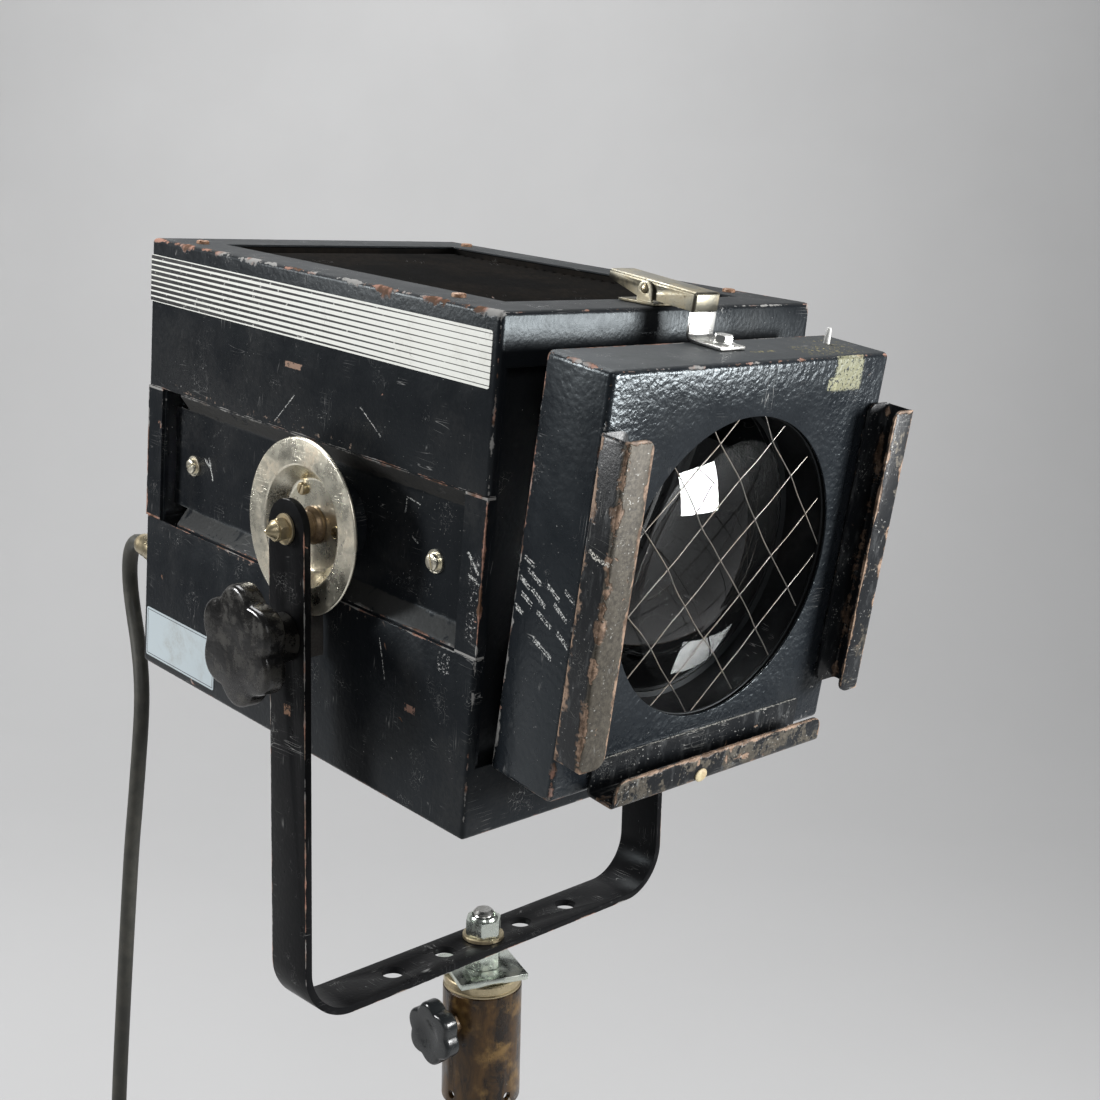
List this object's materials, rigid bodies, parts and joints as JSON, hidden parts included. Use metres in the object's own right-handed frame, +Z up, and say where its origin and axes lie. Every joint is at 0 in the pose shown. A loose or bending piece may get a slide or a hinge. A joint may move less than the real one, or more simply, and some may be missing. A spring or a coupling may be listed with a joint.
{
  "type": "film light",
  "caption": "Boxy lens spotlight on a strap yoke, with tilt dish and clamp knob, hinged lens box, frame runners, latch, sliding lamp carriage, stand socket and coiled cable.",
  "frame": {"origin": "middle of the stand socket's open lower end, where the stand's spigot goes in", "axes": "+Z up along the socket, -Y the way the light points, X along the tilt axis with the clamp knob on -X"},
  "size_m": [0.3147, 0.4452, 0.773],
  "materials": {
    "black_paint": "semi-gloss orange-peel enamel",
    "yoke_paint": "scratched satin enamel",
    "louvre_paint": "matt heat-resistant black",
    "runner_steel": "worn and stained",
    "nickel": "stained nickel plate",
    "latch_plate": "yellowed zinc plate",
    "zinc": "bright zinc plate",
    "brass": "tarnished",
    "lacquer": "streaky amber lacquer",
    "bakelite": "scuffed",
    "knob_plastic": "satin",
    "lens_glass": "polished",
    "lamp_glass": "clear",
    "guard_wire_steel": "bare wire",
    "ceramic": "unglazed ceramic",
    "mirror": "polished aluminium",
    "inner_steel": "plated",
    "cable_rubber": "dull",
    "plug_rubber": "dull"
  },
  "bodies": {
    "stand_mount": {"stand_socket": "lacquer", "socket_cap": "zinc", "socket_top_plate": "zinc", "stand_bolt": "zinc", "lower_nut": "zinc", "yoke_washer": "brass", "yoke_nut": "zinc"},
    "socket_knob": {"socket_knob": "knob_plastic", "socket_knob_screw": "zinc"},
    "yoke": {"yoke": "yoke_paint", "clamp_jaw": "inner_steel"},
    "tilt_knob": {"tilt_knob": "bakelite", "tilt_knob_screw": "zinc"},
    "housing": {"tilt_dish": "nickel", "dish_boss": "black_paint", "pivot_bush": "brass", "pivot_boss_right": "black_paint", "pivot_bolt_left": "inner_steel", "pivot_bolt_right": "inner_steel", "acorn_nut_left": "brass", "acorn_nut_right": "brass", "top_cover": "black_paint", "bottom_cover": "black_paint", "corner_post_front_left": "black_paint", "corner_post_front_right": "black_paint", "corner_post_back_left": "black_paint", "corner_post_back_right": "black_paint", "side_tray_left": "black_paint", "side_tray_right": "black_paint", "front_panel": "black_paint", "back_panel": "black_paint", "louvre_panel": "louvre_paint", "latch_base": "latch_plate", "latch_pin": "brass", "hinge_leaf": "black_paint", "hinge_pin": "inner_steel", "focus_rail_left": "inner_steel", "focus_rail_right": "inner_steel", "cable_gland": "brass", "cable": "cable_rubber", "cable_coil": "cable_rubber", "cable_tie": "plug_rubber", "plug": "plug_rubber"},
    "latch_lever": {"latch_lever": "latch_plate"},
    "lens_door": {"lens_box": "black_paint", "lens": "lens_glass", "lens_holder": "inner_steel", "lens_retainer": "guard_wire_steel", "wire_guard": "guard_wire_steel", "frame_runner_left": "runner_steel", "frame_runner_right": "runner_steel", "frame_runner_bottom": "runner_steel", "catch_strap": "latch_plate", "hinge_door_leaf": "black_paint"},
    "lamp_carriage": {"lamp_tray": "inner_steel", "lamp_holder": "ceramic", "lamp": "lamp_glass", "reflector": "mirror", "focus_knob": "bakelite"}
  },
  "joints": [
    {"name": "pan", "type": "hinge", "parent": "stand_mount", "child": "yoke", "pos_m": [0, 0, 0.098], "axis": [0, 0, 1], "range_deg": [-180, 180]},
    {"name": "tilt", "type": "hinge", "parent": "yoke", "child": "housing", "pos_m": [0, 0, 0.355], "axis": [-1, 0, 0], "range_deg": [-75, 40]},
    {"name": "tilt_knob_turn", "type": "hinge", "parent": "yoke", "child": "tilt_knob", "pos_m": [-0.15, 0, 0.3005], "axis": [-1, 0, 0], "range_deg": [0, 300]},
    {"name": "socket_knob_turn", "type": "hinge", "parent": "stand_mount", "child": "socket_knob", "pos_m": [-0.0385, 0, 0.0515], "axis": [-1, 0, 0], "range_deg": [0, 300]},
    {"name": "latch_press", "type": "hinge", "parent": "housing", "child": "latch_lever", "pos_m": [0, -0.11868, 0.47598], "axis": [-1, 0, 0], "range_deg": [0, 15], "stiffness_Nm_per_rad": 0.3, "springref_deg": -8.59},
    {"name": "lens_box_hinge", "type": "hinge", "parent": "housing", "child": "lens_door", "pos_m": [0, -0.11378, 0.2513], "axis": [1, 0, 0], "range_deg": [0, 45]},
    {"name": "focus_slide", "type": "slide", "parent": "housing", "child": "lamp_carriage", "axis": [0, 0.9964, 0.0847], "range_m": [-0.045, 0.055]}
  ]
}
